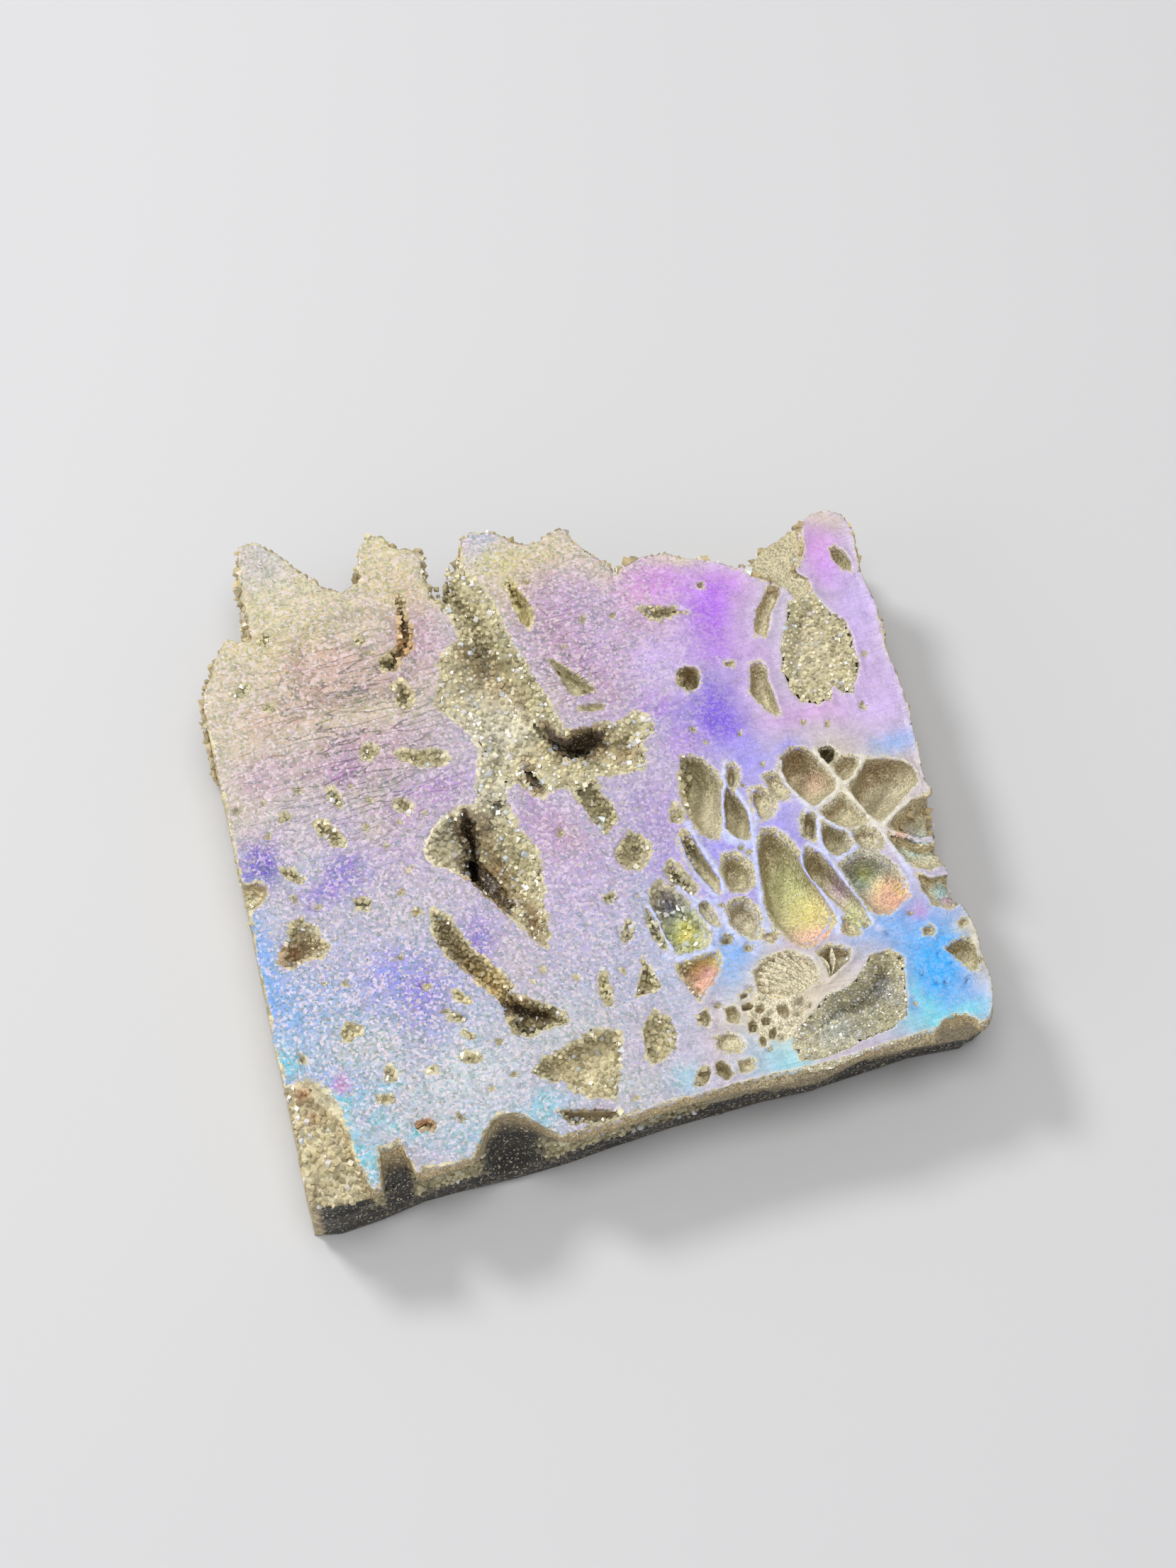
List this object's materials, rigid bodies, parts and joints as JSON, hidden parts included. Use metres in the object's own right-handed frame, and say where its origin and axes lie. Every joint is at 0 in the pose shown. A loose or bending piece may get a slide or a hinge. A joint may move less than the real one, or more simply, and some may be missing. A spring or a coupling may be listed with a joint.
{
  "type": "sphalerite slab",
  "caption": "Sawn mineral slab with a rainbow-coated top, druse-lined hollows, thin-walled boxwork cells and a ragged back edge.",
  "frame": {"origin": "under the middle of the slab's outline, on the sawn underside", "axes": "+Z out of the coated top, +X along the straight front edge, +Y towards the ragged back edge"},
  "size_m": [0.0828, 0.0838, 0.015],
  "materials": {
    "coated_stone": "iridescent metallic-oxide coat over a sugary micro-druse, lilac to violet, blue and cream, bare khaki stone in the pits and on the flanks",
    "druse": "glassy khaki to honey-brown crystals"
  },
  "bodies": {
    "root": {"stone": "coated_stone", "main_hollow_druse": "druse", "lower_chamber_druse": "druse", "corner_pocket_druse": "druse", "front_pocket_druse": "druse"}
  },
  "joints": []
}
